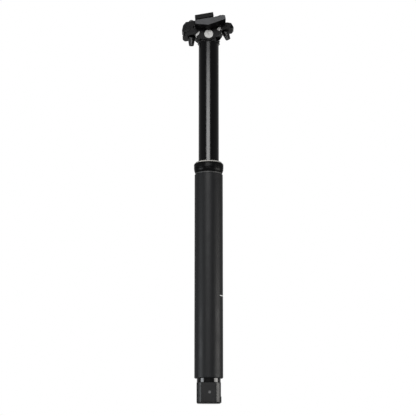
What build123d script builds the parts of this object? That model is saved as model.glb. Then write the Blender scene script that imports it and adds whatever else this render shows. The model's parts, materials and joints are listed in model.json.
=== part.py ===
from build123d import *
import os
from math import cos, radians, sin, sqrt

os.makedirs("parts", exist_ok=True)

# The origin is on the post's axis, level with the lower tube's top, where the frame's seat tube ends.
# +Z runs up to the saddle, +X forwards and +Y to the side. The post stands at its full height.

# Lower tube
tube_radius = 15.8
tube_wall = 2.0
tube_length = 226.5
tube_chamfer = 0.7
thread_radius = 14.6
thread_length = 7.0
line_height = 136.5
line_width = 0.8
line_depth = 0.25
line_half_angle = 20.0
line_direction = -18.0

# Upper tube and its guides
stanchion_radius = 11.45
stanchion_wall = 1.7
stanchion_overlap = 80.0
running_clearance = 0.05
soft_clearance = 0.3
cut_overrun = 1.0
upper_bush_top = 4.0
upper_bush_length = 26.0
lower_bush_length = 18.0
key_count = 3
key_width = 3.0
key_length = 15.0
key_gap = 2.0
key_pocket_depth = 0.85
key_reach = 0.9
key_play = 0.1
groove_top = 40.0
bush_slit_width = 1.3

# Collar at the mouth of the lower tube
neck_height = 1.9
neck_radius = 14.95
collar_foot_radius = 15.15
collar_belly_radius = 16.55
collar_top = 13.0
collar_belly_height = 9.4
collar_edge_radius = 14.9
collar_groove_height = 6.3
collar_groove_width = 0.5
collar_groove_depth = 0.25
wiper_radius = 13.2
wiper_height = 7.6
wiper_lip = 0.9
foam_height = 5.6
trim_ring_height = 1.4
trim_ring_radius = 14.6

# Clamp head: the eye is the axis that the saddle clamp tips about
eye_height = 161.5
clamp_tip = 10.0
head_drop = 9.0
head_base_top = 7.8
head_plug_length = 26.0
cheek_radius = 8.6
cheek_outer = 8.9
cheek_inner = 5.5
web_radius = 14.6
web_top = 6.6
web_half_width = 6.0
pin_radius = 4.5
pin_cap_radius = 4.9
pin_cap_height = 0.7
pin_dome_radius = 3.7
pin_dome_height = 0.3
pin_dome_taper = 20.0
pin_centre_radius = 0.9

# Rocker and yoke
rocker_hub_radius = 7.4
rocker_reach = 15.0
rocker_foot = 0.8
rocker_half_width = 5.2
pad_inner = 9.7
pad_foot = -1.2
pad_top = 6.8
pad_half_width = 8.9
bridge_thickness = 3.0
ear_reach = 29.6
ear_half_width = 10.7
ear_foot = 2.4
rear_ear_top = 6.2
front_ear_top = 10.2
ear_nose = 1.6
ear_round = 2.2
yoke_plate_inner = 9.2
yoke_plate_foot = 7.2
yoke_shoulder_reach = 8.4
yoke_shoulder_foot = 4.4
yoke_gusset_reach = 12.6
yoke_gusset_foot = 2.8
ear_step = 0.6
window_inner = 9.8
window_outer = 14.8
window_rise = 3.6
rear_window_foot = -1.0
rear_window_height = 3.7
front_window_foot = 1.6
front_window_top = 6.4
front_window_cut = 2.4

# Saddle rails, cradle and top clamp
rail_radius = 3.5
rail_spacing = 44.0
rail_height = 14.2
rail_gap = 1.5
cradle_rear = 13.3
cradle_front = 20.7
cradle_end_depth = 4.3
cradle_keel_height = 5.5
cradle_keel_place = 0.6
cradle_keel_drop = 1.5
cradle_outer = 27.5
cradle_inner = 12.0
cradle_plate_reach = 12.0
rib_count = 9
rib_depth = 0.25
clamp_bar_reach = 10.4
clamp_bar_shift = -2.0
clamp_bar_thickness = 1.9
clamp_bar_outer = 26.6
clamp_bar_inner = 17.2
clamp_plate_thickness = 4.3
clamp_arm_half_width = 8.0
clamp_rear = 29.1
clamp_front_rise = 1.2
clamp_front = 22.4
clamp_lobe_foot = 6.8
clamp_lobe_length = 9.0
clamp_groove_width = 0.7
clamp_groove_depth = 0.5
clamp_groove_count = 3
clamp_groove_slope = 10.0

# Clamp bolts
bolt_radius = 2.5
bolt_hole_radius = 2.9
bolt_tip_reach = 21.3
bolt_tip_height = -6.9
bolt_end_reach = 16.0
bolt_end_height = 21.6
bolt_head_radius = 4.1
bolt_head_end_radius = 2.8
bolt_head_length = 8.3
bolt_socket_width = 4.0
bolt_socket_depth = 2.6
washer_thickness = 0.9
washer_radius = 4.3
nut_radius = 3.6
nut_half_length = 6.6
nut_height = 17.6

# Hydraulic cartridge
cartridge_radius = 8.6
cartridge_bore_radius = 7.0
cartridge_foot = 72.0
cartridge_cap_thickness = 6.0
gland_height = 11.0
rod_radius = 4.0
piston_height = 9.0
float_height = 9.0
float_place = 60.0
seal_section = 1.6
top_bolt_radius = 3.0
push_rod_radius = 1.5

# Foot of the post: bottom cap, actuator housing and release lever
cap_plug_height = 10.5
cap_neck_radius = 13.1
cap_neck_height = 4.5
spigot_radius = 6.4
spigot_length = 12.5
rod_seat_depth = 3.0
bumper_radius = 13.3
bumper_height = 10.5
bumper_gap = 0.5
housing_width = 26.5
housing_wall = 1.6
housing_floor = 1.5
housing_corner_reach = 2.35
housing_edge_round = 0.9
housing_foot_round = 1.6
housing_top_bevel = 0.5
port_radius = 2.55
port_height = 4.3
port_length = 5.0
port_boss_radius = 3.4
port_boss_reach = 0.6
port_cable_radius = 1.1
screw_radius = 1.45
screw_depth_below_cap = 10.7
screw_offset = 0.9
screw_sink = 0.3
screw_socket_width = 1.5
screw_socket_depth = 1.2
lever_pin_radius = 1.25
lever_pin_inset = 4.25
lever_pin_end_room = 0.75
lever_pin_drop = 14.5
lever_hub_radius = 2.2
lever_half_width = 2.4
lever_nose_radius = 1.4
lever_nose_fall = 1.1
lever_arm_half_height = 1.0
anchor_radius = 1.7
anchor_half_length = 3.2
anchor_inset = 5.65
anchor_drop = 3.9
anchor_screw_radius = 0.9
release_collar_radius = 3.5
release_collar_height = 1.0
release_collar_drop = 11.6
contact_gap = 0.05
spring_wire_radius = 0.25
spring_radius = 2.6
spring_turns = 6

# Places that follow from the sizes above
bore_radius = tube_radius - tube_wall
stanchion_bore = stanchion_radius - stanchion_wall
slide_radius = stanchion_radius + running_clearance
groove_radius = bore_radius + key_reach + key_play
stanchion_foot = -stanchion_overlap
travel = tube_length - stanchion_overlap - cap_plug_height - bumper_height - bumper_gap
stanchion_top = eye_height - head_drop
cartridge_top = stanchion_top - head_plug_length
key_foot = stanchion_foot + lower_bush_length + key_gap
cap_foot = -tube_length - cap_neck_height
lever_pin_z = cap_foot - lever_pin_drop
lever_nose_z = lever_pin_z - lever_nose_fall
port_z = lever_pin_z - anchor_drop
housing_foot = port_z - port_height
housing_height = cap_foot - housing_foot
rod_foot = cap_foot - rod_seat_depth
rod_top = -cartridge_foot + gland_height + soft_clearance + piston_height
bridge_foot = rocker_hub_radius
pin_cap_place = ear_half_width + 2 * running_clearance
bridge_top = bridge_foot + bridge_thickness
cradle_top = rail_height - rail_gap / 2
cradle_plate_thickness = cradle_top - bridge_top
clamp_foot = rail_height + rail_gap / 2
rail_side = rail_spacing / 2
spigot_foot = cap_foot - spigot_length
housing_half = housing_width / 2
cavity_half = housing_half - housing_wall
housing_corner_radius = housing_half + housing_corner_reach
lever_pin_x = lever_pin_inset - housing_half
anchor_x = anchor_inset - housing_half
lever_pin_reach = sqrt(housing_corner_radius**2 - (lever_pin_radius - lever_pin_x) ** 2) - contact_gap

# The clamp's own axes: fore and aft along the rails, and up square to them, from the eye
tip = radians(clamp_tip)
bolt_lean = (bolt_tip_reach - bolt_end_reach) / (bolt_end_height - bolt_tip_height)
nut_reach = bolt_end_reach + (bolt_end_height - nut_height) * bolt_lean
fore = (cos(tip), 0, sin(tip))
up = (-sin(tip), 0, cos(tip))
eye = (0, 0, eye_height)
side_plane = Plane(origin=eye, x_dir=fore, z_dir=(0, -1, 0))
level_plane = Plane(origin=eye, x_dir=fore, z_dir=up)
front_plane = Plane(origin=(0, 0, 0), x_dir=(1, 0, 0), z_dir=(0, -1, 0))


def clamp_point(along, height, side=0):
    """A point given along the rails, above the eye and to the side, in the post's own axes."""
    return (along * fore[0] + height * up[0], -side, eye_height + along * fore[2] + height * up[2])


def rail_plane(side):
    """The plane across a saddle rail, at the rail's middle above the eye."""
    place = clamp_point(0, rail_height, side * rail_side)
    return Plane(origin=place, x_dir=(0, 1, 0), z_dir=fore)


def port_plane(reach):
    """The plane of the cable port, this far out from the post's axis and facing in."""
    return Plane(origin=(reach, 0, port_z), x_dir=(0, 1, 0), z_dir=(-1, 0, 0))


def ring(outer, inner, foot, height):
    """A plain round ring on the post's axis, inside the part that is being built."""
    with BuildSketch(Plane.XY.offset(foot)) as section:
        Circle(outer)
        if inner:
            Circle(inner, mode=Mode.SUBTRACT)
    extrude(section.sketch, amount=height)


def bolt_line(end):
    """Foot, direction and length of a clamp bolt, where end is -1 for the rear bolt and 1 for the front."""
    foot = Vector(*clamp_point(end * bolt_tip_reach, bolt_tip_height))
    head = Vector(*clamp_point(end * bolt_end_reach, bolt_end_height))
    return foot, (head - foot).normalized(), (head - foot).length


def bolt_plane(end, along):
    """The plane square to a clamp bolt at this distance from its head's tip."""
    foot, direction, _ = bolt_line(end)
    return Plane(origin=foot + direction * along, x_dir=(0, 1, 0), z_dir=direction)


def bolt_holes(radius):
    """Both clamp bolts' holes, cut through the part that is being built."""
    for end in (-1, 1):
        length = bolt_line(end)[2]
        with BuildSketch(bolt_plane(end, -cut_overrun)) as hole:
            Circle(radius)
        extrude(hole.sketch, amount=length + 2 * cut_overrun, mode=Mode.SUBTRACT)


def box_on(plane, points, near, far):
    """A closed outline on a side plane, pushed from one side distance to another."""
    with BuildSketch(plane.offset(near)) as outline:
        with BuildLine():
            Polyline(*points, close=True)
        make_face()
    extrude(outline.sketch, amount=far - near)


def save(part, name):
    part.label = name
    export_step(part, "parts/" + name + ".step")
    return part


# Lower tube, with the grooves for the guide keys and the line of least insertion
with BuildPart() as lower_tube:
    with BuildSketch(Plane.XZ):
        with BuildLine():
            Polyline(
                (bore_radius, -tube_length),
                (tube_radius - tube_chamfer, -tube_length),
                (tube_radius, -tube_length + tube_chamfer),
                (tube_radius, 0),
                (tube_radius - tube_chamfer, tube_chamfer),
                (thread_radius, tube_chamfer),
                (thread_radius, thread_length),
                (bore_radius, thread_length),
                close=True,
            )
        make_face()
    revolve(axis=Axis.Z)
    with BuildSketch(Plane.XY.offset(-tube_length - cut_overrun)):
        with PolarLocations(0, key_count):
            with Locations((groove_radius / 2, 0)):
                Rectangle(groove_radius, key_width + 2 * key_play)
    extrude(amount=tube_length + cut_overrun - groove_top, mode=Mode.SUBTRACT)
    with BuildSketch(Plane.XY.offset(-line_height)):
        with BuildLine():
            RadiusArc(
                (tube_radius * cos(radians(line_direction - line_half_angle)),
                 tube_radius * sin(radians(line_direction - line_half_angle))),
                (tube_radius * cos(radians(line_direction + line_half_angle)),
                 tube_radius * sin(radians(line_direction + line_half_angle))),
                -tube_radius,
            )
            offset(amount=line_depth)
        make_face()
    extrude(amount=line_width / 2, both=True, mode=Mode.SUBTRACT)
save(lower_tube.part, "lower_tube")

# Collar, its wiper, foam ring and bright trim ring
with BuildPart() as collar:
    with BuildSketch(Plane.XZ):
        with BuildLine():
            Polyline(
                (wiper_radius, collar_top),
                (wiper_radius, thread_length),
                (thread_radius, thread_length),
                (thread_radius, neck_height),
                (collar_foot_radius, neck_height),
            )
            Spline(
                (collar_foot_radius, neck_height),
                (collar_belly_radius, collar_belly_height),
                (collar_edge_radius, collar_top),
                tangents=[(1, 2), (0, 1), (-1, 0)],
            )
            Line((collar_edge_radius, collar_top), (wiper_radius, collar_top))
        make_face()
    revolve(axis=Axis.Z)
    with BuildSketch(Plane.XY.offset(collar_groove_height)):
        Circle(collar_belly_radius)
        Circle(collar_belly_radius - 2 * collar_groove_depth, mode=Mode.SUBTRACT)
    extrude(amount=collar_groove_width, mode=Mode.SUBTRACT)
save(collar.part, "collar")

with BuildPart() as neck_ring:
    ring(neck_radius, thread_radius, tube_chamfer, neck_height - tube_chamfer)
save(neck_ring.part, "neck_ring")

with BuildPart() as trim_ring:
    ring(trim_ring_radius, wiper_radius, collar_top, trim_ring_height)
    chamfer(trim_ring.edges().group_by(Axis.Z)[-1], collar_groove_depth)
save(trim_ring.part, "trim_ring")

with BuildPart() as wiper_seal:
    with BuildSketch(Plane.XZ):
        with BuildLine():
            Polyline(
                (slide_radius, thread_length),
                (wiper_radius, thread_length),
                (wiper_radius, thread_length + wiper_height - wiper_lip),
                (slide_radius, thread_length + wiper_height),
                close=True,
            )
        make_face()
    revolve(axis=Axis.Z)
save(wiper_seal.part, "wiper_seal")

with BuildPart() as foam_ring:
    ring(
        bore_radius,
        stanchion_radius + soft_clearance,
        thread_length - foam_height - soft_clearance,
        foam_height,
    )
save(foam_ring.part, "foam_ring")

with BuildPart() as upper_bush:
    ring(bore_radius, slide_radius, -upper_bush_top - upper_bush_length, upper_bush_length)
save(upper_bush.part, "upper_bush")

# Upper tube with the pockets for the keys
with BuildPart() as stanchion:
    ring(stanchion_radius, stanchion_bore, stanchion_foot, stanchion_top - stanchion_foot)
    with BuildSketch(Plane.XY.offset(key_foot)):
        with PolarLocations(stanchion_radius, key_count):
            Rectangle(2 * key_pocket_depth, key_width)
    extrude(amount=key_length, mode=Mode.SUBTRACT)
save(stanchion.part, "stanchion")

with BuildPart() as lower_bush:
    with BuildSketch(Plane.XY.offset(stanchion_foot)):
        Circle(bore_radius - running_clearance)
        Circle(stanchion_radius, mode=Mode.SUBTRACT)
        with Locations((bore_radius, 0)):
            Rectangle(2 * bore_radius, bush_slit_width, mode=Mode.SUBTRACT)
    extrude(amount=lower_bush_length)
save(lower_bush.part, "lower_bush")

with BuildPart() as guide_keys:
    with BuildSketch(Plane.XY.offset(key_foot)):
        with PolarLocations(0, key_count):
            with Locations(((stanchion_radius - key_pocket_depth + bore_radius + key_reach) / 2, 0)):
                Rectangle(bore_radius + key_reach - stanchion_radius + key_pocket_depth, key_width)
    extrude(amount=key_length)
save(guide_keys.part, "guide_keys")

# Forged head in the top of the upper tube: a fork of two cheeks with a web fore and aft
with BuildPart() as post_head:
    ring(stanchion_bore, 0, cartridge_top, head_plug_length)
    ring(stanchion_radius, 0, stanchion_top, head_drop - head_base_top)
    chamfer(post_head.edges().group_by(Axis.Z)[0], key_pocket_depth)
    with BuildSketch(front_plane):
        with Locations((0, eye_height)):
            Circle(web_radius)
            with Locations((0, web_radius - web_top)):
                Rectangle(2 * web_radius + cut_overrun, 2 * web_radius, mode=Mode.SUBTRACT)
        with Locations((0, stanchion_top - web_radius)):
            Rectangle(2 * web_radius, 2 * web_radius, mode=Mode.SUBTRACT)
    extrude(amount=web_half_width, both=True)
    with BuildSketch(front_plane):
        with Locations((0, eye_height)):
            Circle(cheek_radius)
        with Locations((0, eye_height - cheek_radius / 2)):
            Rectangle(2 * cheek_radius, cheek_radius + (head_base_top - cheek_radius) / 2)
    extrude(amount=cheek_outer, both=True)
    with BuildSketch(front_plane):
        with Locations((0, eye_height)):
            Circle(web_radius + cut_overrun)
        with Locations((0, eye_height - head_base_top - web_radius)):
            Rectangle(2 * web_radius, 2 * web_radius, mode=Mode.SUBTRACT)
    extrude(amount=cheek_inner, both=True, mode=Mode.SUBTRACT)
    with BuildSketch(front_plane):
        with Locations((0, eye_height)):
            Circle(pin_radius)
    extrude(amount=cheek_outer + cut_overrun, both=True, mode=Mode.SUBTRACT)
    with BuildSketch(Plane.XY.offset(cartridge_top - cut_overrun)):
        Circle(top_bolt_radius)
    extrude(amount=head_plug_length, mode=Mode.SUBTRACT)
save(post_head.part, "post_head")

# Bright pin through the cheeks: a shaft with a domed cap at each end
with BuildPart() as tilt_pin:
    with BuildSketch(front_plane):
        with Locations((0, eye_height)):
            Circle(pin_radius)
    extrude(amount=pin_cap_place, both=True)
    for side in (-1, 1):
        with BuildSketch(front_plane.offset(side * pin_cap_place)):
            with Locations((0, eye_height)):
                Circle(pin_cap_radius)
        extrude(amount=side * pin_cap_height)
        with BuildSketch(front_plane.offset(side * (pin_cap_place + pin_cap_height))):
            with Locations((0, eye_height)):
                Circle(pin_dome_radius)
                Circle(pin_centre_radius, mode=Mode.SUBTRACT)
        extrude(amount=side * pin_dome_height, taper=pin_dome_taper)
save(tilt_pin.part, "tilt_pin")

# Rocker between the cheeks: a hub on the pin with an arm fore and aft and a pad at each arm's end
with BuildPart() as rocker:
    with BuildSketch(side_plane):
        Circle(rocker_hub_radius)
        with Locations((0, (rocker_hub_radius + rocker_foot) / 2)):
            Rectangle(2 * rocker_reach, rocker_hub_radius - rocker_foot)
        Circle(pin_radius + running_clearance, mode=Mode.SUBTRACT)
    extrude(amount=rocker_half_width, both=True)
    with BuildSketch(side_plane):
        for end in (-1, 1):
            with Locations((end * (pad_inner + rocker_reach) / 2, (pad_foot + pad_top) / 2)):
                Rectangle(rocker_reach - pad_inner, pad_top - pad_foot)
    extrude(amount=pad_half_width, both=True)
save(rocker.part, "rocker")

# Yoke: a bridge over the rocker, an ear fore and aft for the bolts and a windowed plate down each side
with BuildPart() as yoke:
    for end, top in ((-1, rear_ear_top), (1, front_ear_top)):
        box_on(
            side_plane,
            [
                (0, bridge_top),
                (end * (rocker_reach + ear_round), bridge_top),
                (end * (ear_reach - 3 * ear_round), top),
                (end * (ear_reach - ear_round), top - ear_nose),
                (end * ear_reach, ear_foot + ear_nose),
                (end * (ear_reach - ear_round), ear_foot),
                (end * rocker_reach, ear_foot),
                (end * rocker_reach, bridge_foot),
                (0, bridge_foot),
            ],
            -ear_half_width,
            ear_half_width,
        )
        box_on(
            side_plane,
            [
                (0, bridge_top),
                (end * (rocker_reach + ear_round), bridge_top),
                (end * (rocker_reach + ear_round), ear_foot),
                (end * yoke_gusset_reach, -yoke_gusset_foot),
                (end * yoke_shoulder_reach, -yoke_shoulder_foot),
                (0, -yoke_plate_foot),
            ],
            -ear_half_width,
            ear_half_width,
        )
    with BuildSketch(level_plane):
        RectangleRounded(2 * ear_reach, 2 * ear_half_width, 2 * ear_round)
    extrude(amount=2 * cradle_outer, both=True, mode=Mode.INTERSECT)
    with BuildSketch(level_plane.offset(-cradle_outer)):
        for side in (-1, 1):
            with Locations((0, side * (rocker_half_width + yoke_plate_inner) / 2)):
                Rectangle(2 * rocker_reach, yoke_plate_inner - rocker_half_width)
    extrude(amount=2 * cradle_outer, mode=Mode.SUBTRACT)
    with BuildSketch(side_plane):
        with Locations((0, bridge_foot - cradle_outer)):
            Rectangle(2 * rocker_reach, 2 * cradle_outer)
    extrude(amount=yoke_plate_inner, both=True, mode=Mode.SUBTRACT)
    with BuildSketch(side_plane):
        Circle(pin_radius + running_clearance)
        with BuildLine():
            Polyline(
                (-window_outer, rear_window_foot),
                (-window_outer, rear_window_foot + rear_window_height),
                (-window_inner, rear_window_foot + rear_window_height + window_rise),
                (-window_inner, rear_window_foot + window_rise),
                close=True,
            )
        make_face()
        with BuildLine():
            Polyline(
                (window_inner, front_window_foot + front_window_cut),
                (window_inner + front_window_cut, front_window_top),
                (window_outer, front_window_top),
                (window_outer, front_window_foot + front_window_cut / 2),
                (window_inner + front_window_cut, front_window_foot),
                close=True,
            )
        make_face()
    extrude(amount=ear_half_width + cut_overrun, both=True, mode=Mode.SUBTRACT)
    for side in (-1, 1):
        with BuildSketch(side_plane.offset(side * (ear_half_width - ear_step))):
            with BuildLine():
                Polyline(
                    (rocker_reach + ear_round, front_window_top),
                    (ear_reach + cut_overrun, ear_foot + ear_nose),
                    (ear_reach + cut_overrun, bridge_top + cut_overrun),
                    (rocker_reach + ear_round, bridge_top + cut_overrun),
                    close=True,
                )
            make_face()
        extrude(amount=side * (ear_step + cut_overrun), mode=Mode.SUBTRACT)
    bolt_holes(bolt_hole_radius)
    for end in (-1, 1):
        with BuildSketch(bolt_plane(end, bolt_head_length + washer_thickness)):
            Circle(washer_radius + soft_clearance)
        extrude(amount=-bolt_head_length, mode=Mode.SUBTRACT)
save(yoke.part, "yoke")

# Cradle under the rails: a plate on the bridge with a keel-shaped wing out to each rail
with BuildPart() as cradle:
    for side in (-1, 1):
        for reach, drop in ((cradle_inner, cradle_keel_drop), (cradle_outer, 0)):
            with BuildSketch(side_plane.offset(side * reach)):
                with BuildLine():
                    Polyline(
                        (-cradle_rear, cradle_top),
                        (cradle_front, cradle_top),
                        (cradle_front, cradle_top - cradle_end_depth),
                        (cradle_keel_place, cradle_keel_height - drop),
                        (-cradle_rear, cradle_top - cradle_end_depth),
                        close=True,
                    )
                make_face()
        loft(ruled=True)
    with BuildSketch(level_plane.offset(cradle_top)):
        Rectangle(2 * cradle_plate_reach, 2 * cradle_inner + 2 * cut_overrun)
    extrude(amount=-cradle_plate_thickness)
    for side in (-1, 1):
        with BuildSketch(rail_plane(side)):
            Circle(rail_radius)
        extrude(amount=2 * cradle_front, both=True, mode=Mode.SUBTRACT)
        for rib in range(rib_count):
            rib_share = (rib + 1) / (rib_count + 1)
            place = cradle_keel_place + rib_share * (cradle_front - cradle_keel_place)
            foot = cradle_keel_height + rib_share * (cradle_top - cradle_end_depth - cradle_keel_height)
            with BuildSketch(side_plane.offset(side * cradle_outer)):
                with Locations((place, (foot + cradle_top) / 2)):
                    Rectangle(rib_depth * 2, cradle_top - foot - 2 * rib_depth)
            extrude(amount=rib_depth, both=True, mode=Mode.SUBTRACT)
save(cradle.part, "cradle")

# Top clamp: a bar over each rail, a plate between them and an arm out to each bolt
with BuildPart() as top_clamp:
    with BuildSketch(level_plane.offset(clamp_foot)):
        with Locations((clamp_bar_shift, 0)):
            Rectangle(2 * clamp_bar_reach, 2 * clamp_bar_inner)
    extrude(amount=clamp_plate_thickness)
    for side in (-1, 1):
        with BuildSketch(level_plane.offset(clamp_foot)):
            with Locations((clamp_bar_shift, side * (clamp_bar_outer + clamp_bar_inner) / 2)):
                Rectangle(2 * clamp_bar_reach, clamp_bar_outer - clamp_bar_inner)
        extrude(amount=rail_radius - rail_gap / 2 + clamp_bar_thickness)
    box_on(
        side_plane,
        [
            (-clamp_rear, clamp_lobe_foot + clamp_lobe_length * 2 / 5),
            (-clamp_rear + clamp_lobe_length / 6, clamp_lobe_foot + clamp_lobe_length / 9),
            (-clamp_rear + clamp_lobe_length * 3 / 5, clamp_lobe_foot),
            (-rocker_reach - 2 * ear_round, bridge_top - rail_gap / 2),
            (-bolt_end_reach + bolt_radius, clamp_foot - rail_gap / 2),
            (clamp_front - clamp_lobe_length / 4, clamp_foot - rail_gap / 2),
            (clamp_front, clamp_foot),
            (clamp_front, clamp_foot + clamp_plate_thickness),
            (clamp_front - clamp_lobe_length / 4, clamp_foot + clamp_plate_thickness + clamp_front_rise),
            (0, clamp_foot + clamp_plate_thickness),
            (-clamp_rear + clamp_lobe_length * 2 / 3, clamp_foot + clamp_plate_thickness),
            (-clamp_rear + clamp_lobe_length / 4, clamp_foot + clamp_plate_thickness / 4),
        ],
        -clamp_arm_half_width,
        clamp_arm_half_width,
    )
    for side in (-1, 1):
        with BuildSketch(rail_plane(side)):
            Circle(rail_radius)
        extrude(amount=2 * cradle_front, both=True, mode=Mode.SUBTRACT)
        for groove in range(clamp_groove_count):
            groove_share = (groove + 1) / (clamp_groove_count + 1)
            height = clamp_lobe_foot + groove_share * (clamp_foot - clamp_lobe_foot)
            groove_reach = clamp_rear - bolt_end_reach - bolt_radius
            with BuildSketch(side_plane.offset(side * clamp_arm_half_width)):
                with Locations((-clamp_rear, height + clamp_groove_width)):
                    Rectangle(2 * groove_reach, clamp_groove_width, rotation=clamp_groove_slope)
            extrude(amount=clamp_groove_depth, both=True, mode=Mode.SUBTRACT)
    bolt_holes(bolt_hole_radius)
    for end in (-1, 1):
        with BuildSketch(side_plane):
            with Locations((end * nut_reach, nut_height)):
                Circle(nut_radius)
        extrude(amount=nut_half_length, both=True, mode=Mode.SUBTRACT)
save(top_clamp.part, "top_clamp")

# Clamp bolts with tapered heads below the ears, their washers and the round nuts in the arms
with BuildPart() as clamp_bolts:
    for end in (-1, 1):
        length = bolt_line(end)[2]
        with BuildSketch(bolt_plane(end, 0)):
            Circle(bolt_head_end_radius)
        with BuildSketch(bolt_plane(end, bolt_head_length)):
            Circle(bolt_head_radius)
        loft()
        with BuildSketch(bolt_plane(end, bolt_head_length)):
            Circle(bolt_radius)
        extrude(amount=length - bolt_head_length)
        with BuildSketch(bolt_plane(end, 0)):
            RegularPolygon(bolt_socket_width / 2, 6)
        extrude(amount=bolt_socket_depth, mode=Mode.SUBTRACT)
save(clamp_bolts.part, "clamp_bolts")

with BuildPart() as bolt_washers:
    for end in (-1, 1):
        with BuildSketch(bolt_plane(end, bolt_head_length)):
            Circle(washer_radius)
            Circle(bolt_radius, mode=Mode.SUBTRACT)
        extrude(amount=washer_thickness)
save(bolt_washers.part, "bolt_washers")

with BuildPart() as clamp_nuts:
    for end in (-1, 1):
        with BuildSketch(side_plane):
            with Locations((end * nut_reach, nut_height)):
                Circle(nut_radius)
        extrude(amount=nut_half_length, both=True)
    bolt_holes(bolt_radius)
save(clamp_nuts.part, "clamp_nuts")

# Hydraulic cartridge: its body hangs from the head and rides down over the fixed rod
with BuildPart() as cartridge_body:
    with BuildSketch(Plane.XZ):
        with BuildLine():
            Polyline(
                (0, cartridge_top),
                (cartridge_radius, cartridge_top),
                (cartridge_radius, -cartridge_foot),
                (cartridge_bore_radius, -cartridge_foot),
                (cartridge_bore_radius, cartridge_top - cartridge_cap_thickness),
                (0, cartridge_top - cartridge_cap_thickness),
                close=True,
            )
        make_face()
    revolve(axis=Axis.Z)
save(cartridge_body.part, "cartridge_body")

with BuildPart() as cartridge_stud:
    ring(top_bolt_radius, 0, cartridge_top, head_plug_length - cut_overrun)
save(cartridge_stud.part, "cartridge_stud")

with BuildPart() as cartridge_sleeve:
    ring(stanchion_bore, cartridge_radius, -cartridge_foot + gland_height, gland_height)
save(cartridge_sleeve.part, "cartridge_sleeve")

with BuildPart() as cartridge_gland:
    ring(cartridge_bore_radius, rod_radius + running_clearance, -cartridge_foot, gland_height)
    with BuildSketch(Plane.XY.offset(-cartridge_foot + gland_height / 2)):
        Circle(rod_radius + running_clearance + seal_section)
    extrude(amount=seal_section, mode=Mode.SUBTRACT)
save(cartridge_gland.part, "cartridge_gland")

with BuildPart() as rod_seal:
    ring(
        rod_radius + running_clearance + seal_section,
        rod_radius + running_clearance,
        -cartridge_foot + gland_height / 2,
        seal_section,
    )
save(rod_seal.part, "rod_seal")

with BuildPart() as cartridge_rod:
    ring(rod_radius, push_rod_radius + running_clearance, rod_foot, rod_top - rod_foot)
save(cartridge_rod.part, "cartridge_rod")

with BuildPart() as rod_piston:
    ring(cartridge_bore_radius - running_clearance, rod_radius, rod_top - piston_height, piston_height)
    with BuildSketch(Plane.XY.offset(rod_top - piston_height / 2)):
        Circle(cartridge_bore_radius)
        Circle(cartridge_bore_radius - seal_section, mode=Mode.SUBTRACT)
    extrude(amount=seal_section, mode=Mode.SUBTRACT)
save(rod_piston.part, "rod_piston")

with BuildPart() as piston_ring:
    ring(
        cartridge_bore_radius - running_clearance,
        cartridge_bore_radius - seal_section,
        rod_top - piston_height / 2,
        seal_section,
    )
save(piston_ring.part, "piston_ring")

with BuildPart() as floating_piston:
    ring(cartridge_bore_radius - running_clearance, 0, float_place, float_height)
    with BuildSketch(Plane.XY.offset(float_place + float_height / 2)):
        Circle(cartridge_bore_radius)
        Circle(cartridge_bore_radius - seal_section, mode=Mode.SUBTRACT)
    extrude(amount=seal_section, mode=Mode.SUBTRACT)
save(floating_piston.part, "floating_piston")

with BuildPart() as floating_ring:
    ring(
        cartridge_bore_radius - running_clearance,
        cartridge_bore_radius - seal_section,
        float_place + float_height / 2,
        seal_section,
    )
save(floating_ring.part, "floating_ring")

# Bottom cap: a plug in the tube, the glossy neck below it and the spigot that holds the actuator
with BuildPart() as bottom_cap:
    ring(bore_radius, 0, -tube_length, cap_plug_height)
    ring(cap_neck_radius, 0, cap_foot, cap_neck_height)
    ring(spigot_radius, 0, spigot_foot, spigot_length)
    with BuildSketch(Plane.XY.offset(spigot_foot - cut_overrun)):
        Circle(rod_radius)
    cap_length = cap_plug_height + cap_neck_height + spigot_length
    extrude(amount=cap_length + 2 * cut_overrun, mode=Mode.SUBTRACT)
save(bottom_cap.part, "bottom_cap")

with BuildPart() as bumper:
    ring(
        bumper_radius,
        rod_radius + soft_clearance,
        cap_plug_height - tube_length,
        bumper_height,
    )
save(bumper.part, "bumper")

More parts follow.
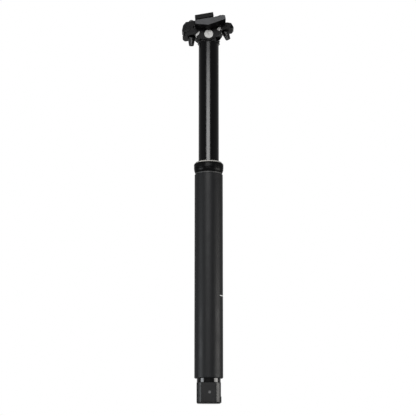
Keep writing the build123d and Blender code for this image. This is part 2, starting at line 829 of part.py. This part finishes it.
# Actuator housing: a square shell, its corners turned round to pass the seat tube, and the cable's port
with BuildPart() as actuator_housing:
    with BuildSketch(Plane.XY.offset(housing_foot)):
        Rectangle(housing_width, housing_width)
        Circle(housing_corner_radius, mode=Mode.INTERSECT)
    extrude(amount=housing_height)
    fillet(actuator_housing.edges().filter_by(Axis.Z), housing_edge_round)
    fillet(actuator_housing.faces().sort_by(Axis.Z)[0].edges(), housing_foot_round)
    chamfer(actuator_housing.faces().sort_by(Axis.Z)[-1].edges(), housing_top_bevel)
    with BuildSketch(port_plane(housing_half + port_boss_reach)):
        Circle(port_boss_radius)
    extrude(amount=port_boss_reach + port_length)
    with BuildSketch(Plane.XY.offset(housing_foot + housing_floor)):
        Rectangle(2 * cavity_half, 2 * cavity_half)
        Circle(housing_corner_radius - housing_wall, mode=Mode.INTERSECT)
        with Locations((housing_half, 0)):
            Rectangle(2 * (port_length + port_boss_reach), 2 * port_boss_radius, mode=Mode.SUBTRACT)
    extrude(amount=port_height - housing_floor + port_boss_radius, mode=Mode.SUBTRACT)
    with BuildSketch(Plane.XY.offset(port_z + port_boss_radius)):
        Rectangle(2 * cavity_half, 2 * cavity_half)
        Circle(housing_corner_radius - housing_wall, mode=Mode.INTERSECT)
    extrude(amount=housing_height - port_height - port_boss_radius - housing_wall, mode=Mode.SUBTRACT)
    with BuildSketch(Plane.XY.offset(cap_foot + cut_overrun)):
        Circle(spigot_radius)
    extrude(amount=-housing_wall - 2 * cut_overrun, mode=Mode.SUBTRACT)
    with BuildSketch(port_plane(housing_half + port_boss_reach)):
        Circle(port_radius)
    extrude(amount=port_length, mode=Mode.SUBTRACT)
    with BuildSketch(port_plane(housing_half)):
        Circle(port_cable_radius)
    extrude(amount=housing_half, mode=Mode.SUBTRACT)
    with BuildSketch(front_plane):
        with Locations((screw_offset, cap_foot - screw_depth_below_cap)):
            Circle(screw_radius)
    extrude(amount=housing_half + cut_overrun, mode=Mode.SUBTRACT)
    with BuildSketch(front_plane):
        with Locations((lever_pin_x, lever_pin_z)):
            Circle(lever_pin_radius)
    extrude(amount=lever_pin_reach + lever_pin_end_room, both=True, mode=Mode.SUBTRACT)
save(actuator_housing.part, "actuator_housing")

with BuildPart() as housing_screw:
    with BuildSketch(front_plane.offset(housing_half - screw_sink)):
        with Locations((screw_offset, cap_foot - screw_depth_below_cap)):
            Circle(screw_radius)
            RegularPolygon(screw_socket_width / 2, 6, mode=Mode.SUBTRACT)
    extrude(amount=-screw_socket_depth)
    with BuildSketch(front_plane.offset(housing_half - screw_sink - screw_socket_depth)):
        with Locations((screw_offset, cap_foot - screw_depth_below_cap)):
            Circle(screw_radius)
    extrude(amount=-(housing_half - screw_sink - screw_socket_depth - spigot_radius))
save(housing_screw.part, "housing_screw")

# Release lever on its pin: a nose under the push rod and an arm down to the cable's anchor
with BuildPart() as lever_pin:
    with BuildSketch(front_plane):
        with Locations((lever_pin_x, lever_pin_z)):
            Circle(lever_pin_radius)
    extrude(amount=lever_pin_reach, both=True)
save(lever_pin.part, "lever_pin")

with BuildPart() as release_lever:
    with BuildSketch(front_plane):
        with Locations((lever_pin_x, lever_pin_z)):
            Circle(lever_hub_radius)
        with Locations((0, lever_nose_z)):
            Circle(lever_nose_radius)
        with Locations((anchor_x, port_z)):
            Circle(anchor_radius + lever_arm_half_height / 2)
        with BuildLine():
            Polyline(
                (lever_pin_x, lever_pin_z + lever_arm_half_height),
                (0, lever_nose_z + lever_arm_half_height),
                (0, lever_nose_z - lever_arm_half_height),
                (anchor_x + anchor_radius, port_z),
                (anchor_x - anchor_radius, port_z),
                close=True,
            )
        make_face()
        with Locations((lever_pin_x, lever_pin_z)):
            Circle(lever_pin_radius + running_clearance, mode=Mode.SUBTRACT)
        with Locations((anchor_x, port_z)):
            Circle(anchor_radius, mode=Mode.SUBTRACT)
    extrude(amount=lever_half_width, both=True)
save(release_lever.part, "release_lever")

with BuildPart() as cable_anchor:
    with BuildSketch(front_plane):
        with Locations((anchor_x, port_z)):
            Circle(anchor_radius)
    extrude(amount=anchor_half_length, both=True)
    with BuildSketch(front_plane.offset(anchor_half_length)):
        with Locations((anchor_x, port_z)):
            Circle(anchor_screw_radius)
    extrude(amount=-anchor_half_length, mode=Mode.SUBTRACT)
save(cable_anchor.part, "cable_anchor")

with BuildPart() as anchor_screw:
    with BuildSketch(front_plane.offset(anchor_half_length)):
        with Locations((anchor_x, port_z)):
            Circle(anchor_screw_radius)
    extrude(amount=-anchor_half_length / 2)
save(anchor_screw.part, "anchor_screw")

# Push rod through the hollow rod to the valve, with the collar that its return spring bears on
with BuildPart() as push_rod:
    push_rod_foot = lever_nose_z + lever_nose_radius + contact_gap
    ring(push_rod_radius, 0, push_rod_foot, rod_top - push_rod_foot - soft_clearance)
    release_collar_foot = cap_foot - release_collar_drop - release_collar_height
    ring(release_collar_radius, 0, release_collar_foot, release_collar_height)
save(push_rod.part, "push_rod")

with BuildPart() as return_spring:
    spring_foot = cap_foot - release_collar_drop + spring_wire_radius
    spring_height = rod_foot - spring_foot - spring_wire_radius
    with BuildLine() as coil:
        Helix(spring_height / spring_turns, spring_height, spring_radius, center=(0, 0, spring_foot))
    with BuildSketch(Plane(origin=coil.line @ 0, z_dir=coil.line % 0)):
        Circle(spring_wire_radius)
    sweep()
save(return_spring.part, "return_spring")

print("travel", round(travel, 3))
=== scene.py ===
"""Looks of the dropper seatpost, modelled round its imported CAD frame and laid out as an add-on."""

import json
import math

import bpy
from bpy.props import FloatProperty, FloatVectorProperty, IntProperty, PointerProperty
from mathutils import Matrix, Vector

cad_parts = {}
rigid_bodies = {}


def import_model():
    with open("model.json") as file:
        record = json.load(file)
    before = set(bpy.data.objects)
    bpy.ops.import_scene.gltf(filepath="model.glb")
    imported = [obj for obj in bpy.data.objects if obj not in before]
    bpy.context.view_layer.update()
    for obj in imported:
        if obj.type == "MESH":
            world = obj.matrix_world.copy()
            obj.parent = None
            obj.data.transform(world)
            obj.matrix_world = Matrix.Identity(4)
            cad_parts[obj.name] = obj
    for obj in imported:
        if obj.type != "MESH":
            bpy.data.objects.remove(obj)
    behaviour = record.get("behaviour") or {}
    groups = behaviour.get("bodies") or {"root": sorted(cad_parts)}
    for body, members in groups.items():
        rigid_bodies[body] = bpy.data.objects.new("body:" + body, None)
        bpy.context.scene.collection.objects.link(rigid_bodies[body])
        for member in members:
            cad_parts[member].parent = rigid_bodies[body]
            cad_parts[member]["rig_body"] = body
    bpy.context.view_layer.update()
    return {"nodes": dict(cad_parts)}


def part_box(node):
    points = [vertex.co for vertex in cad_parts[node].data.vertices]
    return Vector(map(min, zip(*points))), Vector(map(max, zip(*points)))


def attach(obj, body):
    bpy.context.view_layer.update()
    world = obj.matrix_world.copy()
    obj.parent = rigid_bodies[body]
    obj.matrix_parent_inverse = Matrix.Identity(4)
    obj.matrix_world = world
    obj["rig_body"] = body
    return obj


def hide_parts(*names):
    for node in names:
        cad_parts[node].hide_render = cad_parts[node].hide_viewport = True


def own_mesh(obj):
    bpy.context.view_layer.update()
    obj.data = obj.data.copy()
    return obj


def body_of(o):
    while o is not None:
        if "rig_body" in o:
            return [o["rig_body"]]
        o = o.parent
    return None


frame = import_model()
slots = {name: node.active_material.name for name, node in frame["nodes"].items() if node.active_material}

bl_info = {
    "name": "Dropper seatpost looks",
    "version": (1, 0, 0),
    "blender": (4, 5, 0),
    "location": "View3D > Sidebar > Seatpost",
    "description": "Finishes, softened forgings and a studio for the dropper seatpost",
    "category": "Object",
}

MERGE_DISTANCE = 0.000002
FLAT_ANGLE = math.radians(0.6)
SMOOTH_ANGLE = math.radians(32.0)
BEVEL_ANGLE = math.radians(38.0)
BEVEL_SEGMENTS = 2
PRINT_THICKNESS = 0.00012
WHITE = (1.0, 1.0, 1.0, 1.0)

# Noise of the finishes: its detail, the scale of the broad one per metre, and its usual least and greatest
FINE_DETAIL = 4.0
BROAD_SCALE = 60.0
BROAD_DETAIL = 3.0
NOISE_LOW = 0.3
NOISE_HIGH = 0.7

# A wave texture repeats once in pi / 10 metres at a scale of 1
WAVE_LENGTH = math.pi / 10.0

CAMERA_PLACE = (-0.0008, -1.5, -0.3102)
CAMERA_TILT = math.radians(100.31)
CAMERA_LENS = 118.15
SENSOR_WIDTH = 36.0

# Each finish: base colour, metallic, specular level, roughness, grain size in metres, spread of the tone,
# spread of the roughness, depth of the grain in metres, and pitch of turning marks or zero
FINISHES = {
    "matt_anodised": ((0.0095, 0.0098, 0.0105), 0.0, 0.028, 0.42, 0.00022, 0.16, 0.05, 0.000006, 0.0),
    "gloss_anodised": ((0.0010, 0.0010, 0.0013), 0.0, 0.060, 0.17, 0.00500, 0.10, 0.02, 0.000001, 0.0),
    "forged_black": ((0.0038, 0.0038, 0.0041), 0.0, 0.011, 0.28, 0.00060, 0.22, 0.07, 0.000010, 0.0),
    # Painted light: a lighter grey for the cradle's side faces, standing in for light falling on them, not a
    # finish of their own
    "cradle_grey": ((0.055, 0.056, 0.059), 0.0, 0.030, 0.48, 0.00050, 0.16, 0.06, 0.000008, 0.0),
    "bright_metal": ((0.480, 0.476, 0.465), 1.0, 0.50, 0.24, 0.00035, 0.08, 0.07, 0.000004, 0.0),
    "housing_black": ((0.0090, 0.0090, 0.0095), 0.0, 0.035, 0.34, 0.00040, 0.20, 0.06, 0.000008, 0.0),
    "black_steel": ((0.008, 0.008, 0.0085), 0.0, 0.080, 0.24, 0.00030, 0.18, 0.08, 0.000004, 0.0),
    "zinc_steel": ((0.520, 0.525, 0.530), 1.0, 0.50, 0.36, 0.00030, 0.14, 0.10, 0.000004, 0.0),
    "chromed_rod": ((0.720, 0.725, 0.735), 1.0, 0.50, 0.09, 0.00200, 0.04, 0.03, 0.000001, 0.0),
    "turned_alloy": ((0.560, 0.565, 0.575), 1.0, 0.50, 0.30, 0.00080, 0.08, 0.06, 0.000002, 0.00018),
    "bush_plastic": ((0.120, 0.115, 0.100), 0.0, 0.40, 0.48, 0.00050, 0.14, 0.08, 0.000005, 0.0),
    "seal_rubber": ((0.010, 0.010, 0.010), 0.0, 0.14, 0.50, 0.00030, 0.20, 0.08, 0.000008, 0.0),
    "trim_grey": ((0.330, 0.322, 0.300), 0.0, 0.050, 0.50, 0.00035, 0.08, 0.06, 0.000004, 0.0),
    "pin_steel": ((0.380, 0.377, 0.366), 0.0, 0.120, 0.26, 0.00035, 0.10, 0.05, 0.000004, 0.0),
    "dull_steel": ((0.140, 0.140, 0.142), 0.0, 0.040, 0.45, 0.00030, 0.14, 0.10, 0.000004, 0.0),
    "key_brass": ((0.560, 0.390, 0.150), 1.0, 0.50, 0.26, 0.00040, 0.10, 0.08, 0.000003, 0.0),
}

# The same values after the colour, for the printed mark and the floor
MARK_VALUES = (0.0, 0.3, 0.5, 0.0002, 0.06, 0.05, 0.000002, 0.0)
PAPER_VALUES = (0.0, 0.2, 0.9, 0.004, 0.01, 0.02, 0.00002, 0.0)

# Pieces whose finish in the photo isn't their slot's usual one
OTHER_FINISHES = {
    "rocker": "forged_black",
    "tilt_pin": "pin_steel",
    "collar": "forged_black",
    "trim_ring": "trim_grey",
    "housing_screw": "dull_steel",
    "lever_pin": "black_steel",
}

# Pieces whose flat side faces take a second finish: the rocker's bright sides are its own colour, while the
# cradle's lighter grey sides are painted light, standing in for the light that falls on those faces
SIDE_FINISHES_AND_PAINTED_LIGHT = {"cradle": "cradle_grey", "rocker": "pin_steel"}
SIDE_FACE_SHARE = 0.97

# Each group: the CAD nodes that it softens, with the width of their rounded edges in metres
TUBE_EDGES = {
    "lower_tube": 0.0002,
    "collar": 0.0003,
    "neck_ring": 0.0003,
    "trim_ring": 0.0001,
    "wiper_seal": 0.0002,
    "stanchion": 0.0002,
}
HEAD_EDGES = {
    "post_head": 0.0005,
    "tilt_pin": 0.0003,
    "rocker": 0.0004,
}
CLAMP_EDGES = {
    "yoke": 0.0005,
    "cradle": 0.0003,
    "top_clamp": 0.0004,
    "clamp_bolts": 0.0002,
    "bolt_washers": 0.0001,
    "clamp_nuts": 0.0002,
}
FOOT_EDGES = {
    "bottom_cap": 0.0002,
    "actuator_housing": 0.0003,
    "housing_screw": 0.0001,
    "lever_pin": 0.0001,
    "release_lever": 0.0002,
    "cable_anchor": 0.0001,
    "anchor_screw": 0.0001,
}

# Each lamp: name, place, the point it faces, size in metres, power in watts, colour, and the kind of ray that
# it is hidden from, if any. The strip and the side boxes show only in gloss: the strip draws the highlight
# down the upper tube, and the boxes draw the bands on the lower one. The box in front gives the even light.
LAMPS = (
    ("front_strip", (-0.20, -2.0, 0.47), (0.0, 0.0, 0.05), (1.3, 0.48), 118.0, (1.0, 1.0, 1.0), "diffuse"),
    ("front_box", (-0.6, -2.0, 0.5), (0.0, 0.0, 0.0), (1.2, 0.9), 18.0, (1.0, 1.0, 1.0), "glossy"),
    ("left_box", (-1.4, -0.62, -0.22), (0.0, 0.0, -0.2), (0.8, 0.4), 60.0, (0.93, 0.97, 1.0), "diffuse"),
    ("right_box", (1.45, -0.4, -0.22), (0.0, 0.0, -0.2), (1.1, 0.4), 82.0, (1.0, 0.98, 0.94), "diffuse"),
    ("top_box", (-0.5, -0.9, 1.3), (0.0, 0.0, 0.15), (0.9, 0.7), 9.0, (1.0, 1.0, 1.0), ""),
)


def select_only(obj):
    """Selects one object and makes it the active one."""
    bpy.ops.object.select_all(action="DESELECT")
    obj.select_set(True)
    bpy.context.view_layer.objects.active = obj


def slot_of(node_name):
    """The record's material slot of a CAD node, which also names its finish."""
    if slots.get(node_name) not in FINISHES:
        raise RuntimeError("no finish for the CAD node " + node_name)
    return slots[node_name]


def paint(obj, finish_name):
    """Gives an object one finish in place of whatever it had."""
    obj.data.materials.clear()
    obj.data.materials.append(bpy.data.materials["finish_" + finish_name])


def build_finish(name, values):
    """Makes one procedural finish in Object coordinates: speckled tone, uneven gloss and fine relief."""
    colour, metallic, specular, roughness, grain, tone, gloss, depth, pitch = values
    material = bpy.data.materials.new("finish_" + name)
    material.use_nodes = True
    tree = material.node_tree
    shader = tree.nodes["Principled BSDF"]
    shader.inputs["Metallic"].default_value = metallic
    shader.inputs["Specular IOR Level"].default_value = specular

    place = tree.nodes.new("ShaderNodeTexCoord")
    fine = tree.nodes.new("ShaderNodeTexNoise")
    fine.inputs["Scale"].default_value = 1.0 / grain
    fine.inputs["Detail"].default_value = FINE_DETAIL
    tree.links.new(place.outputs["Object"], fine.inputs["Vector"])
    broad = tree.nodes.new("ShaderNodeTexNoise")
    broad.inputs["Scale"].default_value = BROAD_SCALE
    broad.inputs["Detail"].default_value = BROAD_DETAIL
    tree.links.new(place.outputs["Object"], broad.inputs["Vector"])

    ramp = tree.nodes.new("ShaderNodeValToRGB")
    ramp.color_ramp.elements[0].position = NOISE_LOW
    ramp.color_ramp.elements[1].position = NOISE_HIGH
    ramp.color_ramp.elements[0].color = [c * (1.0 - tone) for c in colour] + [1.0]
    ramp.color_ramp.elements[1].color = [c * (1.0 + tone) for c in colour] + [1.0]
    tree.links.new(fine.outputs["Fac"], ramp.inputs["Fac"])
    tree.links.new(ramp.outputs["Color"], shader.inputs["Base Color"])

    spread = tree.nodes.new("ShaderNodeMapRange")
    spread.inputs["From Min"].default_value = NOISE_LOW
    spread.inputs["From Max"].default_value = NOISE_HIGH
    spread.inputs["To Min"].default_value = roughness - gloss
    spread.inputs["To Max"].default_value = roughness + gloss
    tree.links.new(broad.outputs["Fac"], spread.inputs["Value"])
    tree.links.new(spread.outputs["Result"], shader.inputs["Roughness"])

    relief = tree.nodes.new("ShaderNodeBump")
    relief.inputs["Distance"].default_value = depth
    height = fine.outputs["Fac"]
    if pitch:
        turning = tree.nodes.new("ShaderNodeTexWave")
        turning.bands_direction = "Z"
        turning.inputs["Scale"].default_value = WAVE_LENGTH / pitch
        tree.links.new(place.outputs["Object"], turning.inputs["Vector"])
        height = turning.outputs["Fac"]
    tree.links.new(height, relief.inputs["Height"])
    tree.links.new(relief.outputs["Normal"], shader.inputs["Normal"])


def soften(node_name, width):
    """Makes a CAD node's visible piece: merged, smooth on its curves, and rounded where a width is given."""
    node = frame["nodes"][node_name]
    finish_name = slot_of(node_name)
    piece = bpy.data.objects.new(node_name + "_piece", node.data.copy())
    bpy.context.scene.collection.objects.link(piece)
    select_only(piece)
    bpy.ops.object.mode_set(mode="EDIT")
    bpy.ops.mesh.select_all(action="SELECT")
    bpy.ops.mesh.customdata_custom_splitnormals_clear()
    bpy.ops.mesh.remove_doubles(threshold=MERGE_DISTANCE)
    bpy.ops.mesh.dissolve_limited(angle_limit=FLAT_ANGLE)
    bpy.ops.mesh.select_all(action="SELECT")
    bpy.ops.mesh.normals_make_consistent(inside=False)
    bpy.ops.object.mode_set(mode="OBJECT")
    if width:
        bevel = piece.modifiers.new("edges", "BEVEL")
        bevel.width = width
        bevel.segments = BEVEL_SEGMENTS
        bevel.limit_method = "ANGLE"
        bevel.angle_limit = BEVEL_ANGLE
        bpy.ops.object.modifier_apply(modifier=bevel.name)
    bpy.ops.object.shade_smooth_by_angle(angle=SMOOTH_ANGLE)
    weighted = piece.modifiers.new("normals", "WEIGHTED_NORMAL")
    weighted.keep_sharp = True
    bpy.ops.object.modifier_apply(modifier=weighted.name)
    paint(piece, OTHER_FINISHES.get(node_name, finish_name))
    # Faces turned along Y take the second material: the rocker's own bright colour, and painted light on the
    # cradle
    if node_name in SIDE_FINISHES_AND_PAINTED_LIGHT:
        piece.data.materials.append(bpy.data.materials["finish_" + SIDE_FINISHES_AND_PAINTED_LIGHT[node_name]])
        for face in piece.data.polygons:
            face.material_index = int(abs(face.normal.y) > SIDE_FACE_SHARE)
    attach(piece, body_of(node)[0])
    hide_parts(node_name)
    return piece


def soften_all(edges):
    """Softens every CAD node of a group."""
    for name, width in edges.items():
        soften(name, width)


class SeatpostLooks(bpy.types.PropertyGroup):
    """Sizes and colours of the pieces modelled here."""

    mark_height: FloatProperty(
        name="Mark height", description="How far below the collar the least insertion mark lies",
        default=0.1365, min=0.05, max=0.2, unit="LENGTH")
    mark_width: FloatProperty(
        name="Mark width", description="Height of the least insertion mark",
        default=0.0009, min=0.0003, max=0.003, unit="LENGTH")
    mark_start: FloatProperty(
        name="Mark start", description="Where round the tube the mark starts",
        default=math.radians(-38.0), unit="ROTATION")
    mark_end: FloatProperty(
        name="Mark end", description="Where round the tube the mark ends",
        default=math.radians(2.0), unit="ROTATION")
    mark_colour: FloatVectorProperty(
        name="Mark colour", description="Colour of the least insertion mark",
        default=(0.82, 0.82, 0.80), size=3, subtype="COLOR", min=0.0, max=1.0)
    release_travel: FloatProperty(
        name="Release travel", description="How far the push rod rises when the lever is pulled",
        default=0.00188, min=0.0, max=0.005, unit="LENGTH")
    paper_colour: FloatVectorProperty(
        name="Floor colour", description="Colour of the floor under the post",
        default=(0.86, 0.86, 0.86), size=3, subtype="COLOR", min=0.0, max=1.0)
    room_light: FloatProperty(
        name="Room light", description="Strength of the soft light from all round",
        default=0.55, min=0.0, max=2.0)
    floor_glow: FloatProperty(
        name="Floor glow", description="Share of the floor that shows as plain white paper",
        default=0.6, min=0.0, max=1.0)
    floor_height: FloatProperty(
        name="Floor height", description="Height of the floor, below the camera of the photo",
        default=-0.45, unit="LENGTH")
    floor_size: FloatProperty(
        name="Floor size", description="Width of the floor",
        default=30.0, unit="LENGTH")
    ring_segments: IntProperty(
        name="Ring segments", description="Segments round the tube for the pieces laid on it",
        default=180, min=24, max=720)


class SEATPOST_OT_finishes(bpy.types.Operator):
    """Builds the finishes and paints every CAD node with its own"""

    bl_idname = "seatpost.finishes"
    bl_label = "Finishes"

    def execute(self, context):
        for name, values in FINISHES.items():
            build_finish(name, values)
        for name, node in frame["nodes"].items():
            paint(node, slot_of(name))
        return {"FINISHED"}


class SEATPOST_OT_tubes(bpy.types.Operator):
    """Models the visible tubes, collar and rings"""

    bl_idname = "seatpost.tubes"
    bl_label = "Tubes"

    def execute(self, context):
        soften_all(TUBE_EDGES)
        return {"FINISHED"}


class SEATPOST_OT_head(bpy.types.Operator):
    """Models the forged head, its pin and the rocker"""

    bl_idname = "seatpost.head"
    bl_label = "Head"

    def execute(self, context):
        soften_all(HEAD_EDGES)
        return {"FINISHED"}


class SEATPOST_OT_clamp(bpy.types.Operator):
    """Models the saddle clamp and its bolts"""

    bl_idname = "seatpost.clamp"
    bl_label = "Saddle clamp"

    def execute(self, context):
        soften_all(CLAMP_EDGES)
        return {"FINISHED"}


class SEATPOST_OT_foot(bpy.types.Operator):
    """Models the actuator at the foot of the post"""

    bl_idname = "seatpost.foot"
    bl_label = "Actuator"

    def execute(self, context):
        soften_all(FOOT_EDGES)
        # The return spring is softened without rounded edges and gets a mesh of its own; in the post it is
        # pressed short against the cap above it as the push rod's collar rises
        spring = soften("return_spring", 0.0)
        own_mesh(spring)
        return {"FINISHED"}


class SEATPOST_OT_mark(bpy.types.Operator):
    """Models the printed mark of least insertion on the lower tube"""

    bl_idname = "seatpost.mark"
    bl_label = "Least insertion mark"

    def execute(self, context):
        looks = context.scene.seatpost_looks
        low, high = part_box("lower_tube")
        radius = (high[0] - low[0]) / 2
        bpy.ops.object.select_all(action="DESELECT")
        bpy.ops.mesh.primitive_cylinder_add(
            vertices=looks.ring_segments, radius=radius, depth=looks.mark_width, end_fill_type="NOTHING")
        mark = context.active_object
        mark.name = "insertion_mark"
        bpy.ops.object.mode_set(mode="EDIT")
        bpy.ops.mesh.select_all(action="SELECT")
        bpy.ops.transform.translate(value=(0.0, 0.0, -looks.mark_height))
        bpy.ops.mesh.select_all(action="DESELECT")
        bpy.ops.object.mode_set(mode="OBJECT")
        for face in mark.data.polygons:
            turn = math.atan2(face.center.y, face.center.x)
            face.select = not looks.mark_start < turn < looks.mark_end
        bpy.ops.object.mode_set(mode="EDIT")
        bpy.ops.mesh.delete(type="FACE")
        bpy.ops.object.mode_set(mode="OBJECT")
        solid = mark.modifiers.new("print", "SOLIDIFY")
        solid.thickness = PRINT_THICKNESS
        solid.offset = 0.0
        bpy.ops.object.modifier_apply(modifier=solid.name)
        bpy.ops.object.shade_smooth_by_angle(angle=SMOOTH_ANGLE)
        build_finish("mark_paint", (tuple(looks.mark_colour),) + MARK_VALUES)
        mark.data.materials.append(bpy.data.materials["finish_mark_paint"])
        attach(mark, body_of(frame["nodes"]["lower_tube"])[0])
        return {"FINISHED"}


def seen_rays(tree):
    """Adds the nodes that tell what the camera sees, straight or in gloss, from what only gives light."""
    path = tree.nodes.new("ShaderNodeLightPath")
    seen = path.outputs["Is Camera Ray"]
    for ray in ("Is Glossy Ray", "Is Transmission Ray"):
        either = tree.nodes.new("ShaderNodeMath")
        either.operation = "MAXIMUM"
        tree.links.new(seen, either.inputs[0])
        tree.links.new(path.outputs[ray], either.inputs[1])
        seen = either.outputs["Value"]
    return seen


def add_glow(material, part):
    """Shows this part of a material's surface to the camera as plain white, in whatever light."""
    tree = material.node_tree
    share = tree.nodes.new("ShaderNodeMath")
    share.operation = "MULTIPLY"
    share.inputs[1].default_value = part
    tree.links.new(seen_rays(tree), share.inputs[0])
    glow = tree.nodes.new("ShaderNodeEmission")
    glow.inputs["Color"].default_value = WHITE
    blend = tree.nodes.new("ShaderNodeMixShader")
    tree.links.new(share.outputs["Value"], blend.inputs["Fac"])
    tree.links.new(tree.nodes["Principled BSDF"].outputs["BSDF"], blend.inputs[1])
    tree.links.new(glow.outputs["Emission"], blend.inputs[2])
    tree.links.new(blend.outputs["Shader"], tree.nodes["Material Output"].inputs["Surface"])


def add_area(name, place, target, size, power, colour, hidden):
    """Adds one soft rectangular lamp that looks at a point and is hidden from one kind of ray, or none."""
    bpy.ops.object.light_add(type="AREA", location=place)
    lamp = bpy.context.active_object
    lamp.name = name
    lamp.data.shape = "RECTANGLE"
    lamp.data.size = size[0]
    lamp.data.size_y = size[1]
    lamp.data.energy = power
    lamp.data.color = colour
    away = [p - t for p, t in zip(place, target)]
    flat = math.hypot(away[0], away[1])
    lamp.rotation_euler = (math.atan2(flat, away[2]), 0.0, math.atan2(away[0], -away[1]))
    lamp.visible_diffuse = hidden != "diffuse"
    lamp.visible_glossy = hidden != "glossy"


class SEATPOST_OT_stage(bpy.types.Operator):
    """Sets up the floor, the white surroundings, the lamps and the camera of the photo"""

    bl_idname = "seatpost.stage"
    bl_label = "Stage"

    def execute(self, context):
        looks = context.scene.seatpost_looks
        bpy.ops.object.select_all(action="DESELECT")
        bpy.ops.mesh.primitive_plane_add(size=looks.floor_size, location=(0.0, 0.0, looks.floor_height))
        floor = context.active_object
        floor.name = "floor"
        build_finish("paper", (tuple(looks.paper_colour),) + PAPER_VALUES)
        paper = bpy.data.materials["finish_paper"]
        floor.data.materials.append(paper)
        add_glow(paper, looks.floor_glow)

        for lamp_values in LAMPS:
            add_area(*lamp_values)

        world = bpy.data.worlds.new("studio")
        context.scene.world = world
        world.use_nodes = True
        tree = world.node_tree
        tree.nodes.clear()
        room = tree.nodes.new("ShaderNodeBackground")
        room.inputs["Color"].default_value = WHITE
        room.inputs["Strength"].default_value = looks.room_light
        white = tree.nodes.new("ShaderNodeBackground")
        white.inputs["Color"].default_value = WHITE
        seen = seen_rays(tree)
        mix = tree.nodes.new("ShaderNodeMixShader")
        out = tree.nodes.new("ShaderNodeOutputWorld")
        tree.links.new(seen, mix.inputs["Fac"])
        tree.links.new(room.outputs["Background"], mix.inputs[1])
        tree.links.new(white.outputs["Background"], mix.inputs[2])
        tree.links.new(mix.outputs["Shader"], out.inputs["Surface"])

        bpy.ops.object.camera_add(location=CAMERA_PLACE, rotation=(CAMERA_TILT, 0.0, 0.0))
        camera = context.active_object
        camera.data.sensor_width = SENSOR_WIDTH
        camera.data.lens = CAMERA_LENS
        context.scene.camera = camera
        context.scene.view_settings.view_transform = "Standard"
        return {"FINISHED"}


class SEATPOST_PT_panel(bpy.types.Panel):
    """Buttons and sizes of the seatpost"""

    bl_idname = "SEATPOST_PT_panel"
    bl_label = "Seatpost"
    bl_space_type = "VIEW_3D"
    bl_region_type = "UI"
    bl_category = "Seatpost"

    def draw(self, context):
        for operator in OPERATORS:
            self.layout.operator(operator.bl_idname)
        for name in SeatpostLooks.__annotations__:
            self.layout.prop(context.scene.seatpost_looks, name)


OPERATORS = (
    SEATPOST_OT_finishes,
    SEATPOST_OT_tubes,
    SEATPOST_OT_head,
    SEATPOST_OT_clamp,
    SEATPOST_OT_foot,
    SEATPOST_OT_mark,
    SEATPOST_OT_stage,
)


def register():
    """Registers the settings, the operators and the panel."""
    bpy.utils.register_class(SeatpostLooks)
    for operator in OPERATORS:
        bpy.utils.register_class(operator)
    bpy.utils.register_class(SEATPOST_PT_panel)
    bpy.types.Scene.seatpost_looks = PointerProperty(type=SeatpostLooks)


def unregister():
    """Takes the add-on out again."""
    del bpy.types.Scene.seatpost_looks
    bpy.utils.unregister_class(SEATPOST_PT_panel)
    for operator in reversed(OPERATORS):
        bpy.utils.unregister_class(operator)
    bpy.utils.unregister_class(SeatpostLooks)


def main():
    """Builds the looks in order."""
    register()
    bpy.ops.seatpost.finishes()
    bpy.ops.seatpost.tubes()
    bpy.ops.seatpost.head()
    bpy.ops.seatpost.clamp()
    bpy.ops.seatpost.foot()
    bpy.ops.seatpost.mark()
    bpy.ops.seatpost.stage()


if __name__ == "__main__":
    main()
